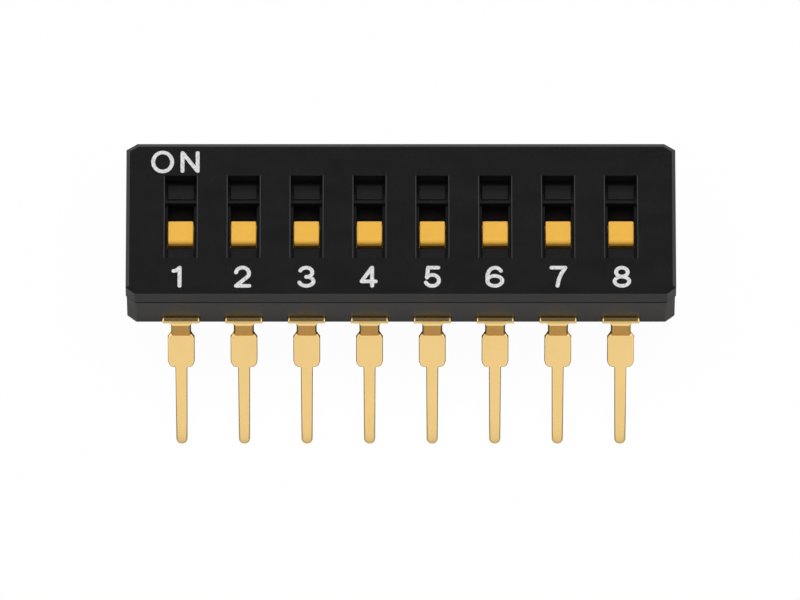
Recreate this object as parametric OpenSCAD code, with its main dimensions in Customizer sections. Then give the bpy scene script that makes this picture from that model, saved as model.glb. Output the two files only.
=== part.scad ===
// Slide switch in a dual in-line package, standing on two rows of splayed terminals.
// X runs along the row of sliders, -Y is the numbered OFF side, +Y the ON side, +Z is up.
// The origin is on the ground under the middle of the package. Every length is in millimetres.

/* [Row] */
// Number of sliders
positions = 8; // [2:1:12]
// Distance from one slider to the next
pitch = 2.54; // [2.3:0.02:3.2]
// Distance from the last slider's middle to the end of the body
end_margin = 2.21; // [1.8:0.01:3]

/* [Body] */
// Depth of the body, front to back
body_d = 6.74; // [5.6:0.02:9]
// Height of the cover's outer wall
cover_h = 0.86; // [0.8:0.01:1.2]
// Height of the base's outer wall
base_h = 1.81; // [1.6:0.01:2.4]
// How far the base's walls stand in from the cover's
base_inset = 0.02; // [0.01:0.01:0.06]
// Corner cut of the body, along the row
corner_x = 0.36; // [0.15:0.01:0.6]
// Corner cut of the body, front to back
corner_y = 0.28; // [0.15:0.01:0.6]
// Width of the bevel round the top face
bevel_w = 0.14; // [0.05:0.01:0.25]
// Height of the bevel round the top face
bevel_h = 0.045; // [0.02:0.005:0.1]
// Thickness of the base's front and back walls
wall = 1.15; // [0.9:0.05:1.4]
// Thickness of the base's rim round the cover's plug
rim = 0.45; // [0.3:0.05:0.6]
// Depth of the plug under the cover, which sits inside the rim
plug_h = 0.1; // [0.05:0.01:0.2]

/* [Slots] */
// Running gap between a knob and each long side of its hole
guide_gap = 0.02; // [0.01:0.005:0.05]
// Gap left between a knob and its stop at each end of its travel
stop_gap = 0.025; // [0.01:0.005:0.05]
// Length of the shelf at the OFF end of a slot
front_shelf = 0.8; // [0.4:0.05:1]
// Length of the shelf at the ON end of a slot
back_shelf = 0.94; // [0.5:0.02:1.1]
// Thickness of the cover under the shelves
deck = 0.29; // [0.2:0.01:0.4]
// How much each side of a slot leans in, from the top face down to the shelves
side_lean = 0.12; // [0.04:0.01:0.2]
// Radius of the round lip at a shelf's inner edge
lip_r = 0.08; // [0.04:0.01:0.12]
// Width of the bevel round a slot
slot_bevel_w = 0.1; // [0.04:0.01:0.15]
// Depth of the bevel round a slot
slot_bevel_h = 0.04; // [0.02:0.005:0.1]

/* [Sliders] */
// Width of a knob, along the row
knob_w = 1.02; // [0.8:0.02:1.2]
// Length of a knob, front to back
knob_l = 0.965; // [0.8:0.005:1.2]
// How far a slider travels from OFF to ON
travel = 0.95; // [0.7:0.01:1.2]
// How far a knob's top lies below the top face
knob_recess = 0.26; // [0.1:0.01:0.4]
// Radius of a knob's upright edges
knob_r = 0.07; // [0.03:0.01:0.15]
// How far a slider's plate reaches past its slot on each long side
plate_wing = 0.22; // [0.1:0.01:0.26]
// How far a slider's plate reaches past its knob at each end
plate_end = 0.15; // [0.05:0.01:0.4]
// Thickness of a slider's plate
plate_t = 0.6; // [0.4:0.01:0.65]
// Running gap between a slider and the cover above it
run_gap = 0.03; // [0.01:0.005:0.06]
// Running gap between a slider's plate and each side of its well
well_gap = 0.05; // [0.02:0.005:0.08]

/* [Moving contacts] */
// Width of a contact, along the row
contact_w = 0.7; // [0.4:0.02:0.9]
// Thickness of the contact's spring strip
contact_t = 0.08; // [0.05:0.01:0.12]
// Length of the flat held under the slider
contact_flat = 0.5; // [0.3:0.02:0.6]
// Distance from the slider's middle to each contact tip
contact_reach = 0.42; // [0.36:0.01:0.5]
// Radius of a contact tip
tip_r = 0.07; // [0.06:0.01:0.1]
// Gap between a contact tip and the pad below it
touch_gap = 0.02; // [0.01:0.005:0.05]

/* [Terminals] */
// Thickness of the terminal sheet
sheet = 0.25; // [0.18:0.01:0.3]
// Height of a lead's top above the underside of the base
lead_h = 0.45; // [0.36:0.01:0.55]
// Plastic over the leads in the floor of a well
floor_cover = 0.1; // [0.05:0.01:0.15]
// Width of a lead where it leaves the wall
shoulder_w = 1.5; // [1.2:0.02:1.9]
// How far the wide lead reaches into the wall
anchor = 0.7; // [0.4:0.05:0.9]
// How far down the bend the wide lead reaches
shoulder_drop = 0.16; // [0.1:0.01:0.3]
// Width of a contact pad inside the base
pad_w = 1.0; // [0.9:0.02:1.3]
// Gap between the two pads of one switch
pad_gap = 0.35; // [0.25:0.01:0.45]
// Inside radius of the bend where a lead turns down
bend_r = 0.03; // [0.02:0.01:0.15]
// Length of the upright neck, from the lead's top
neck_l = 1.15; // [0.8:0.02:1.4]
// Width of the neck
neck_w = 0.8; // [0.6:0.01:0.9]
// Height of the flare that widens the neck to the leg's wide part, from the kink down
flare_l = 0.25; // [0.18:0.01:0.5]
// Inside radius of the bend between neck and leg
kink_r = 0.1; // [0.05:0.01:0.2]
// Angle between a leg and the upright
splay = 30; // [0:1:40]
// Width of the wide part of a leg
blade_w = 1.1; // [0.95:0.01:1.4]
// Length of the wide part of a leg
blade_l = 1.52; // [1:0.01:2.2]
// Radius of the lower corners of the wide part
blade_r = 0.2; // [0.05:0.01:0.25]
// Width of a leg under its wide part
leg_w = 0.5; // [0.4:0.01:0.6]
// Width of a leg at its tip
tip_w = 0.475; // [0.38:0.005:0.6]
// Length of a leg under its wide part
leg_l = 3.77; // [2.5:0.01:4.5]

/* [Hidden] */
$fn = 32;
ARC_STEPS = 8;
EPS = 0.01;
ALL_POSITIONS = [1 : positions];

BLACK = "#222224";
GREY_BLACK = "#2b2929";
AMBER = "#eeb54c";
GOLD = "#e6bf73";

// Heights, from the tips of the legs up
leg_drop = (blade_l + leg_l) * cos(splay) + (kink_r + sheet) * sin(splay);
lead_top = neck_l + leg_drop;
base_z = lead_top - lead_h;
parting_z = base_z + base_h;
top_z = parting_z + cover_h;
shelf_z = parting_z - plug_h + deck;
floor_z = lead_top + floor_cover;
plate_top = parting_z - plug_h - run_gap;
plate_bottom = plate_top - plate_t;

// Lengths along the row and front to back
body_l = (positions - 1) * pitch + 2 * end_margin;
hole_w = knob_w + 2 * guide_gap;
slot_w = hole_w + 2 * side_lean;
hole_l = knob_l + travel + 2 * stop_gap;
slot_front = -hole_l / 2 - front_shelf;
slot_back = hole_l / 2 + back_shelf;
plate_w = slot_w + 2 * plate_wing;
plate_l = knob_l + 2 * plate_end;
well_w = plate_w + 2 * well_gap;
well_l = body_d - 2 * wall;
groove_w = contact_w + 2 * well_gap;
groove_l = travel + 2 * (contact_reach + tip_r + well_gap);
wall_y = body_d / 2 - base_inset;
neck_y = wall_y + bend_r + sheet;

// A terminal's bends, as places in Y and Z, and the way its leg runs and faces
bend_centre = [wall_y, lead_top - sheet - bend_r];
kink_centre = [neck_y + kink_r, lead_top - neck_l];
leg_way = [sin(splay), -cos(splay)];
leg_face = [cos(splay), sin(splay)];
leg_start = kink_centre - kink_r * leg_face;

// The middle of a slider at OFF, and the middle of the gap between its two pads
off_y = -travel / 2;
pad_gap_y = travel / 2;

function row_x(i) = (i - (positions + 1) / 2) * pitch;

// Moves its children to one place in the row
module at(i) translate([row_x(i), 0, 0]) children();

// An outline in Y and Z, drawn out along X to a width
module across(width) rotate([90, 0, 90]) linear_extrude(width, center = true) children();

// The body's outline from above: a rectangle with its four corners cut
module body_plan(inset = 0) {
    x = body_l / 2 - inset;
    y = body_d / 2 - inset;
    polygon([
        [x, corner_y - y], [x, y - corner_y], [x - corner_x, y], [corner_x - x, y],
        [-x, y - corner_y], [-x, corner_y - y], [corner_x - x, -y], [x - corner_x, -y]
    ]);
}

// An upright block with its four upright edges rounded
module rounded_block(width, length, r, height) {
    for (size = [[width - 2 * r, length], [width, length - 2 * r]])
        translate([-size[0] / 2, -size[1] / 2, 0]) cube([size[0], size[1], height]);
    for (x = [-1, 1], y = [-1, 1])
        translate([x * (width / 2 - r), y * (length / 2 - r), 0]) cylinder(height, r, r);
}

// A box on z, centred on x, from y0 to y1
module run_box(width, y0, y1, z, height) {
    translate([-width / 2, y0, z]) cube([width, y1 - y0, height]);
}

// ---- Cover ----

// The cover from one side: upright walls, and a low bevel along each top edge
module cover_side(half) {
    polygon([
        [-half, parting_z], [half, parting_z], [half, top_z - bevel_h], [half - bevel_w, top_z],
        [bevel_w - half, top_z], [-half, top_z - bevel_h]
    ]);
}

// The cover's outer form, cut from its plan and its two sides
module cover_block() {
    intersection() {
        translate([0, 0, parting_z]) linear_extrude(cover_h) body_plan();
        across(body_l) cover_side(body_d / 2);
        rotate([0, 0, 90]) across(body_d) cover_side(body_l / 2);
    }
}

// The plug under the cover, which drops into the base's rim
module cover_plug(gap, height) {
    side = rim + gap;
    translate([side - body_l / 2, side - body_d / 2, parting_z - height])
        cube([body_l - 2 * side, body_d - 2 * side, height + EPS]);
}

// The slot down to the level of its shelves, with leaning sides
module slot_space() {
    depth = top_z - shelf_z;
    high = slot_w / 2 + side_lean * EPS / depth;
    translate([0, slot_back, shelf_z]) rotate([90, 0, 0])
        linear_extrude(slot_back - slot_front)
            polygon([
                [-hole_w / 2, 0], [hole_w / 2, 0], [high, depth + EPS], [-high, depth + EPS]
            ]);
}

// The low funnel of a slot's bevel from one side, where the slot reaches half to each side
module funnel_side(half) {
    more = EPS * slot_bevel_w / slot_bevel_h;
    low = half - more;
    high = half + slot_bevel_w + more;
    polygon([
        [-low, top_z - slot_bevel_h - EPS], [low, top_z - slot_bevel_h - EPS],
        [high, top_z + EPS], [-high, top_z + EPS]
    ]);
}

// The bevel round the slot, cut from its two sides
module slot_funnel() {
    slot_l = slot_back - slot_front;
    translate([0, (slot_front + slot_back) / 2, 0]) intersection() {
        across(slot_w + 4 * slot_bevel_w) funnel_side(slot_l / 2);
        rotate([0, 0, 90]) across(slot_l + 4 * slot_bevel_w) funnel_side(slot_w / 2);
    }
}

module slot_cut() {
    run_box(hole_w, -hole_l / 2, hole_l / 2, parting_z - plug_h - EPS, deck + 2 * EPS);
    slot_space();
    slot_funnel();
}

// The round lip across the slot, where the ON shelf ends at the knob's hole
module lip() {
    translate([0, hole_l / 2 + lip_r, shelf_z]) across(slot_w + 2 * EPS) circle(lip_r);
}

module cover() {
    color(BLACK) {
        difference() {
            union() {
                cover_block();
                cover_plug(well_gap, plug_h);
            }
            for (i = ALL_POSITIONS) at(i) slot_cut();
        }
        for (i = ALL_POSITIONS) at(i) lip();
    }
}

// ---- Base ----

module base() {
    color(GREY_BLACK) difference() {
        translate([0, 0, base_z]) linear_extrude(base_h) body_plan(base_inset);
        cover_plug(0, plug_h);
        for (i = ALL_POSITIONS) at(i) {
            run_box(well_w, -well_l / 2, well_l / 2, floor_z, base_h);
            run_box(groove_w, -groove_l / 2, groove_l / 2, lead_top, base_h);
            rotate([0, 0, 180]) lead(-pad_gap_y + pad_gap / 2);
            lead(pad_gap_y + pad_gap / 2);
        }
    }
}

// ---- Sliders ----

module slider(i) {
    color(AMBER) at(i) translate([0, off_y, 0]) {
        translate([0, 0, plate_top - EPS])
            rounded_block(knob_w, knob_l, knob_r, top_z - knob_recess - plate_top + EPS);
        difference() {
            run_box(plate_w, -plate_l / 2, plate_l / 2, plate_bottom, plate_t);
            run_box(contact_w, -plate_l, plate_l, plate_bottom - EPS, contact_t + EPS);
        }
    }
}

// ---- Moving contacts ----

// One strip: a flat under the slider, an arm down each side and a round tip on each arm
module contact(i) {
    high = plate_bottom + contact_t;
    low = lead_top + touch_gap + tip_r;
    flat = contact_flat / 2;
    color(GOLD) at(i) translate([0, off_y, 0]) {
        across(contact_w) polygon([
            [-contact_reach, low + tip_r], [-flat, high], [flat, high],
            [contact_reach, low + tip_r], [contact_reach, low], [flat, high - contact_t],
            [-flat, high - contact_t], [-contact_reach, low]
        ]);
        for (side = [-1, 1])
            translate([0, side * contact_reach, low]) across(contact_w) circle(tip_r);
    }
}

// ---- Terminals ----

// Points round an arc, in equal steps from one angle to another
function arc(centre, r, from, to) =
    [for (k = [0 : ARC_STEPS])
        let (a = from + (to - from) * k / ARC_STEPS) centre + r * [cos(a), sin(a)]];

// The straight lead inside the base, from its pad's end out to the wall
module lead(pad_end) {
    run_box(pad_w, pad_end, wall_y - anchor + EPS, lead_top - sheet, sheet);
    run_box(shoulder_w, wall_y - anchor, wall_y + EPS, lead_top - sheet, sheet);
}

// A terminal from the side: the lead, its bend down, the neck, its bend out and the leg
module terminal_side(pad_end) {
    leg_end = leg_start + (blade_l + leg_l) * leg_way;
    polygon(concat(
        [[pad_end, lead_top]],
        arc(bend_centre, bend_r + sheet, 90, 0),
        arc(kink_centre, kink_r, 180, 180 + splay),
        [leg_end, leg_end - sheet * leg_face],
        arc(kink_centre, kink_r + sheet, 180 + splay, 180),
        arc(bend_centre, bend_r, 0, 90),
        [[pad_end, lead_top - sheet]]
    ));
}

// Where the sheet is narrower than its shoulder: beside the pad
module beside_pad(pad_end) {
    run_box(shoulder_w, pad_end - EPS, wall_y - anchor, lead_top - 2 * sheet, 3 * sheet);
}

// Where the sheet is narrower than its shoulder: beside the neck, down past the kink and the flare
module beside_neck() {
    flare_drop = max(flare_l, (kink_r + sheet) * sin(splay)) + EPS;
    low = kink_centre[1] - flare_drop;
    run_box(
        2 * shoulder_w, wall_y, kink_centre[0] + flare_drop, low, lead_top - shoulder_drop - low
    );
}

// The neck's outline face on: straight to the kink, then flaring to the leg's wide part
module neck_block() {
    kink_z = kink_centre[1];
    translate([0, 2 * neck_y, 0]) rotate([90, 0, 0]) linear_extrude(2 * neck_y) polygon([
        [-neck_w / 2, top_z], [neck_w / 2, top_z], [neck_w / 2, kink_z],
        [blade_w / 2, kink_z - flare_l], [blade_w / 2, 0], [-blade_w / 2, 0],
        [-blade_w / 2, kink_z - flare_l], [-neck_w / 2, kink_z]
    ]);
}

// The leg's outline laid flat, from the neck at the origin down -Y, up to a height
module leg_block(height) {
    round_y = blade_l + leg_l - tip_w / 2;
    corner = [blade_w / 2 - blade_r, blade_r - blade_l];
    linear_extrude(height) polygon(concat(
        [[blade_w / 2, EPS], [-blade_w / 2, EPS]],
        arc([-corner[0], corner[1]], blade_r, 180, 270),
        arc(corner, blade_r, 270, 360)
    ));
    linear_extrude(height) polygon([
        [-leg_w / 2, -blade_l / 2], [leg_w / 2, -blade_l / 2],
        [tip_w / 2, -round_y], [-tip_w / 2, -round_y]
    ]);
    translate([0, -round_y, 0]) cylinder(height, tip_w / 2, tip_w / 2);
}

// What is trimmed off a plain strip to leave the leg's outline
module beside_leg() {
    length = blade_l + leg_l;
    translate([0, leg_start[0], leg_start[1]]) rotate([90 + splay, 0, 0])
        difference() {
            run_box(2 * shoulder_w, -length - sheet, 0, -sheet, 3 * sheet);
            translate([0, 0, -2 * sheet]) leg_block(5 * sheet);
        }
}

// A terminal of the back row, blanked and bent from one strip of sheet
module terminal(pad_end) {
    color(GOLD) difference() {
        across(shoulder_w) terminal_side(pad_end);
        difference() {
            beside_pad(pad_end);
            run_box(pad_w, pad_end - 2 * EPS, wall_y, lead_top - 3 * sheet, 5 * sheet);
        }
        difference() {
            beside_neck();
            neck_block();
        }
        beside_leg();
    }
}

module back_terminal(i) at(i) terminal(pad_gap_y + pad_gap / 2);

module front_terminal(i) at(i) rotate([0, 0, 180]) terminal(-pad_gap_y + pad_gap / 2);

cover();
base();
for (i = ALL_POSITIONS) slider(i);
for (i = ALL_POSITIONS) contact(i);
for (i = ALL_POSITIONS) front_terminal(i);
for (i = ALL_POSITIONS) back_terminal(i);
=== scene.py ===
"""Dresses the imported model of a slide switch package: mouldings, sliders, terminals and print."""
import math

import bmesh
import bpy
from bpy.props import FloatProperty, FloatVectorProperty, PointerProperty
from mathutils import Matrix, Vector


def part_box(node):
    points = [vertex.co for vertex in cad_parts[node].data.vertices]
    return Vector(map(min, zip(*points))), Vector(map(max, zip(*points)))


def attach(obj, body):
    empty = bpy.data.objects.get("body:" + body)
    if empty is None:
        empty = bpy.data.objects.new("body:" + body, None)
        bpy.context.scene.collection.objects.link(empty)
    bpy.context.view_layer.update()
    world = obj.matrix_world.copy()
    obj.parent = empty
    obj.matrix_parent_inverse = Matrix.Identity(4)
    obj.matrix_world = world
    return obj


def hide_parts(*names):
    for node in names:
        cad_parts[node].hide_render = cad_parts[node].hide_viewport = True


bl_info = {
    "name": "Slide switch package",
    "version": (1, 0, 0),
    "blender": (4, 5, 0),
    "location": "3D View > Sidebar > Switch",
    "description": "Builds the mouldings, sliders, terminals and print of a slide switch package",
    "category": "Object",
}

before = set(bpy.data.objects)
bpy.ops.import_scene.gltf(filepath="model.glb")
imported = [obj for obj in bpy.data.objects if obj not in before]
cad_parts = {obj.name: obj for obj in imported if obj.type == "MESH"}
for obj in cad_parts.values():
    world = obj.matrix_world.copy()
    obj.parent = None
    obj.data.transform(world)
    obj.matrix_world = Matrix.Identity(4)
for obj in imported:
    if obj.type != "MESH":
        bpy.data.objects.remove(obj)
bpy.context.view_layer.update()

MM = 0.001
POSITIONS = sum(name.startswith("slider_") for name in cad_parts)
PLACES = range(1, POSITIONS + 1)


def box_mm(node):
    """A CAD node's lowest and highest corners, in millimetres."""
    return tuple(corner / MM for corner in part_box(node))


# The lengths that the CAD boxes give, in millimetres
COVER_LOW, COVER_HIGH = box_mm("cover")
BASE_LOW, BASE_HIGH = box_mm("base")
SLIDER_LOW, SLIDER_HIGH = box_mm("slider_1")
LEAD_LOW, LEAD_HIGH = box_mm("back_terminal_1")
FRONT_PAD = -box_mm("front_terminal_1")[1].y
TOP_Z = COVER_HIGH.z
PARTING_Z = BASE_HIGH.z
FIRST_X, SECOND_X = (sum(corner.x for corner in box_mm(f"slider_{i}")) / 2 for i in (1, 2))
PITCH = SECOND_X - FIRST_X

# How blocks meet when one cuts or joins another, in millimetres
PAST = 0.1               # how far a block reaches past the face where its work ends
FAR = 1.0                # clear of everything near a slot
HAIR = 0.003             # how far two blocks overlap, so that no faces share a plane
CLOSE = 0.0001           # how far off a point may be and still lie on a line or a face

# Angles in degrees up to which two faces are shaded as one
SMOOTH = 35
BODY_CREASE = 12         # on the body, whose small roundings meet wide flat faces


# ---- Sizes and colours that a user would change ----

def length(name, description, millimetres):
    return FloatProperty(name=name, description=description, default=millimetres * MM,
                         min=0.0, precision=6, unit="LENGTH")


def colour(name, description, value):
    return FloatVectorProperty(name=name, description=description, default=value, size=3,
                               min=0.0, max=1.0, subtype="COLOR")


def factor(name, description, value):
    return FloatProperty(name=name, description=description, default=value, min=0.0,
                         subtype="FACTOR")


def angle(name, description, degrees):
    return FloatProperty(name=name, description=description, default=math.radians(degrees),
                         subtype="ANGLE")


class MouldingSettings(bpy.types.PropertyGroup):
    corner_x: length("Corner along the row", "Corner cut of the body along the row", 0.36)
    corner_y: length("Corner front to back", "Corner cut of the body front to back", 0.28)
    back_corner: length("Back corner", "How much wider the back corners are cut", 0.09)
    base_inset: length("Base inset", "How much narrower the base is at each end", 0.016)
    bevel_w: length("Bevel width", "Width of the bevel round the top face", 0.14)
    bevel_h: length("Bevel height", "Height of the bevel round the top face", 0.045)
    seam_h: length("Seam below", "Height of the groove below the parting line", 0.05)
    seam_up: length("Seam above", "Height of the groove above the parting line", 0.05)
    seam_d: length("Seam depth", "Depth of the groove at the parting line", 0.1)
    rim: length("Rim", "Thickness of the base's rim round the cover's plug", 0.45)
    wall: length("Wall", "Thickness of the base's front and back walls", 1.15)
    plug_gap: length("Plug gap", "Gap between the cover's plug and the rim", 0.05)
    well_w: length("Well width", "Width of the well that holds a slider's plate", 1.84)
    floor_z: length("Floor cover", "Plastic over the leads in a well", 0.1)
    groove_w: length("Groove width", "Width of the groove for the moving contact", 0.8)
    groove_l: length("Groove length", "Length of the groove for the moving contact", 2.03)
    edge: length("Edge", "Radius of the moulded edges", 0.018)
    low_edge: length("Low edge", "Radius of the base's moulded edges", 0.055)
    black: colour("Cover black", "Colour of the cover's plastic", (0.0073, 0.0073, 0.0079))
    dark: colour("Base black", "Colour of the base's plastic", (0.0120, 0.0106, 0.0100))
    cover_sheen: colour("Cover sheen", "Tint of the cover's reflections", (1.0, 0.97, 0.98))
    base_sheen: colour("Base sheen", "Tint of the base's reflections", (1.0, 0.94, 0.90))
    cover_gloss: factor("Cover gloss", "Strength of the cover's reflections", 0.35)
    base_gloss: factor("Base gloss", "Strength of the base's reflections", 0.5)


class SlotSettings(bpy.types.PropertyGroup):
    slot_w: length("Slot width", "Width of a slot at the top face", 1.3)
    hole_w: length("Hole width", "Width of the hole that a knob slides in", 1.06)
    hole_l: length("Hole length", "Length of the hole that a knob slides in", 1.965)
    relief: length("Relief", "How much further the hole opens at the OFF end", 0.01)
    front_shelf: length("OFF shelf", "Length of the shelf at the OFF end", 0.8)
    back_shelf: length("ON shelf", "Length of the shelf at the ON end", 0.94)
    depth: length("Shelf depth", "Depth of the shelves below the top face", 0.67)
    moat_w: length("Moat width", "Width of the groove round a shelf", 0.105)
    moat_h: length("Moat depth", "Depth of the groove round a shelf", 0.15)
    lip: length("Lip", "Radius of the round lip at the ON shelf's inner edge", 0.08)
    lip_gap: length("Lip gap", "Width of the groove between the lip and the ON shelf", 0.03)
    lip_drop: length("Lip drop", "How far the lip's middle is below the shelf", 0.02)
    shelf_edge: length("Shelf edge", "Radius of a shelf's edges", 0.045)
    bevel_w: length("Bevel width", "Width of the bevel along a slot's sides", 0.035)
    end_bevel: length("End bevel", "Width of the bevel across a slot's ends", 0.004)
    bevel_h: length("Bevel depth", "Depth of the bevel round a slot", 0.008)


class SliderSettings(bpy.types.PropertyGroup):
    knob_w: length("Knob width", "Width of a knob along the row", 1.02)
    knob_l: length("Knob length", "Length of a knob front to back", 0.965)
    corner: length("Corner", "Radius of a knob's edges", 0.055)
    crown: length("Crown", "Radius of a knob's top edge at the OFF side", 0.2)
    foot_z: length("Foot", "Depth below the top face where the knob's foot steps back", 0.64)
    foot_in: length("Foot step", "How far the knob's foot steps back at the OFF side", 0.09)
    plate_t: length("Plate", "Thickness of a slider's plate", 0.6)
    seat: length("Seat", "Depth of the seat that holds the moving contact", 0.08)
    seat_w: length("Seat width", "Width of the seat that holds the moving contact", 0.7)
    plate_edge: length("Plate edge", "Radius of a slider's other edges", 0.015)
    amber: colour("Amber", "Colour of the sliders", (0.84, 0.465, 0.068))


class TerminalSettings(bpy.types.PropertyGroup):
    sheet: length("Sheet", "Thickness of the terminal sheet", 0.25)
    pad_w: length("Pad width", "Width of a contact pad inside the base", 1.0)
    shoulder_w: length("Shoulder width", "Width of a lead where it leaves the wall", 1.51)
    anchor: length("Anchor", "How far the wide lead reaches into the wall", 0.7)
    shoulder_drop: length("Shoulder drop", "How far down the bend the wide lead reaches", 0.16)
    corner_r: length("Corner radius", "Radius of the wide lead's outer corners", 0.04)
    shoulder_r: length("Shoulder radius", "Radius between the wide lead and the neck", 0.08)
    bend_r: length("Bend radius", "Inside radius of the bend at the wall", 0.03)
    neck_l: length("Neck length", "Length of the upright neck from the lead's top", 1.15)
    neck_w: length("Neck width", "Width of the neck", 0.81)
    flare_l: length("Flare", "Height over which the neck widens to the leg", 0.25)
    kink_r: length("Kink radius", "Inside radius of the bend into the leg", 0.1)
    splay: angle("Splay", "Angle between a leg and the upright", 30)
    blade_w: length("Blade width", "Width of the wide part of a leg", 1.085)
    blade_l: length("Blade length", "Length of the wide part of a leg", 1.52)
    blade_r: length("Blade radius", "Radius of the lower corners of the wide part", 0.2)
    blade_rise: length("Blade rise", "Height of the lower corners of the wide part", 0.34)
    leg_w: length("Leg width", "Width of a leg under its wide part", 0.485)
    tip_w: length("Tip width", "Width of a leg at its tip", 0.45)
    leg_l: length("Leg length", "Length of a leg under its wide part", 3.77)
    hole_gap: length("Hole gap", "Gap round a lead where it leaves the wall", 0.01)
    root_r: length("Root radius", "Radius between the wide part and the leg", 0.05)
    edge: length("Edge", "Radius of the outer edges of the sheet", 0.08)
    roll: length("Roll", "Radius of the inner edges of the sheet", 0.07)
    gold: colour("Gold", "Colour of the plating", (0.95, 0.66, 0.265))


class PrintSettings(bpy.types.PropertyGroup):
    height: length("Height", "Height of the capitals and numbers", 0.995)
    stroke: length("Stroke", "Width of a printed stroke", 0.157)
    ink_t: length("Ink", "Thickness of the ink", 0.012)
    number_y: length("Number place", "Front edge of the numbers, in front of the middle", 3.13)
    word_y: length("Word place", "Front edge of the word, behind the middle", 2.035)
    word_x: length("Word shift", "Word's left edge, left of the first slot's middle", 1.215)
    letter_gap: length("Letter gap", "Gap between the word's letters", 0.245)
    number_x: length("Number shift", "First number's middle, left of the first slot's", 0.048)
    number_pitch: length("Number pitch", "Distance from one number to the next", 2.551)
    ink: colour("Ink", "Colour of the ink", (0.79, 0.79, 0.79))


class StageSettings(bpy.types.PropertyGroup):
    tilt: angle("Tilt", "Angle of the view off the top face's normal", 26)
    distance: length("Distance", "From the camera to the top face", 750)
    field: length("Field", "Width of the view at the top face", 32.3)
    drop: length("Drop", "How far below the top face's middle the view is centred", 3.30)
    aside: length("Aside", "How far left of the middle the view is centred", 0.036)
    floor: length("Floor", "Radius of the floor", 600)
    key: FloatProperty(name="Key light", description="Power of the key light", default=1.6,
                       min=0.0, unit="POWER")
    key_up: length("Key height", "Height of the key light", 410)
    key_out: length("Key place", "How far the key light stands in front", 80)
    key_w: length("Key width", "Diameter of the key light", 300)
    fill: factor("Fill light", "Strength of the room's light", 0.2)


class SwitchSettings(bpy.types.PropertyGroup):
    moulding: PointerProperty(type=MouldingSettings)
    slot: PointerProperty(type=SlotSettings)
    slider: PointerProperty(type=SliderSettings)
    terminal: PointerProperty(type=TerminalSettings)
    legend: PointerProperty(type=PrintSettings)
    stage: PointerProperty(type=StageSettings)


def settings(context):
    return context.scene.switch_settings


class Lengths:
    """Reads a property group's lengths in millimetres."""

    def __init__(self, group):
        self.group = group

    def __getattr__(self, name):
        return getattr(self.group, name) / MM


# ---- Shaping with operators, in millimetres ----

def clear_selection():
    bpy.ops.object.select_all(action="DESELECT")


def pick(first, others=()):
    """Selects only these objects, and makes the first one active."""
    clear_selection()
    for made in [first, *others]:
        made.select_set(True)
    bpy.context.view_layer.objects.active = first


def take_new(name):
    """Names the object that an operator has just added, and fixes its place into its mesh."""
    made = bpy.context.active_object
    made.name = made.data.name = name
    bpy.ops.object.transform_apply(location=True, rotation=True, scale=True)
    return made


def block(name, low, high):
    """A box between two corners."""
    low, high = Vector(low), Vector(high)
    clear_selection()
    bpy.ops.mesh.primitive_cube_add(size=1, location=(low + high) / 2, scale=high - low)
    return take_new(name)


def shape(made, kind, chosen, step, **options):
    """Runs one edit-mode operator on the edges or the faces that chosen() accepts."""
    pick(made)
    bpy.ops.object.mode_set(mode="EDIT")
    bpy.ops.mesh.select_mode(type=kind)
    bpy.ops.mesh.select_all(action="DESELECT")
    mesh = bmesh.from_edit_mesh(made.data)
    parts = mesh.edges if kind == "EDGE" else mesh.faces
    picked = [part for part in parts if chosen(part)]
    for part in picked:
        part.select_set(True)
    mesh.select_flush_mode()
    bmesh.update_edit_mesh(made.data)
    if not picked:
        raise RuntimeError(f"{made.name}: nothing was found to shape")
    step(**options)
    bpy.ops.object.mode_set(mode="OBJECT")


def combine(made, tool, operation):
    """Cuts a tool from a piece or joins it on, and removes the tool."""
    joint = made.modifiers.new("combine", "BOOLEAN")
    joint.operation = operation
    joint.solver = "EXACT"
    joint.object = tool
    apply_all(made)
    bpy.data.objects.remove(tool)


def apply_all(made):
    pick(made)
    for modifier in list(made.modifiers):
        bpy.ops.object.modifier_apply(modifier=modifier.name)


def join(first, others):
    pick(first, others)
    bpy.ops.object.join()
    return first


def soften(made, radius, crease=SMOOTH):
    """Rounds every sharp edge, and shades small steps smooth."""
    bevel = made.modifiers.new("edges", "BEVEL")
    bevel.width = radius
    bevel.segments = 3
    bevel.limit_method = "ANGLE"
    bevel.angle_limit = math.radians(SMOOTH)
    apply_all(made)
    smooth_flats(made, crease)


def smooth_flats(made, crease):
    """Shades edges up to an angle smooth, with the wide faces kept flat."""
    pick(made)
    bpy.ops.object.shade_smooth_by_angle(angle=math.radians(crease))
    made.modifiers.new("flats", "WEIGHTED_NORMAL").keep_sharp = True
    apply_all(made)


def step_in(thickness, rise):
    """Insets the chosen face and moves what is inside it along Z."""
    bpy.ops.mesh.inset(thickness=thickness)
    bpy.ops.mesh.extrude_region_move(TRANSFORM_OT_translate={"value": (0, 0, rise)})


def scaled_rise(rise, stretch_x, stretch_y, centre):
    """Moves the chosen face along Z and stretches it about a centre."""
    bpy.ops.mesh.extrude_region_move(TRANSFORM_OT_translate={"value": (0, 0, rise)})
    bpy.ops.transform.resize(value=(stretch_x, stretch_y, 1), center_override=centre)


def copies(made, name):
    """The piece and its copies along the row, each with its own mesh, named 1, 2 and so on."""
    made.name = made.data.name = f"{name}_1"
    row = [made]
    for index in range(1, POSITIONS):
        other = made.copy()
        other.data = made.data.copy()
        other.name = other.data.name = f"{name}_{index + 1}"
        other.data.transform(Matrix.Translation((index * PITCH, 0, 0)))
        bpy.context.collection.objects.link(other)
        row.append(other)
    return row


def deliver(made, body, material, replaced=()):
    """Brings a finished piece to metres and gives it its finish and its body."""
    made.data.transform(Matrix.Scale(MM, 4))
    made.data.materials.clear()
    made.data.materials.append(material)
    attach(made, body)
    if replaced:
        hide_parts(*replaced)


def near(value, target):
    return abs(value - target) < CLOSE


# ---- Finishes ----

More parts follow.
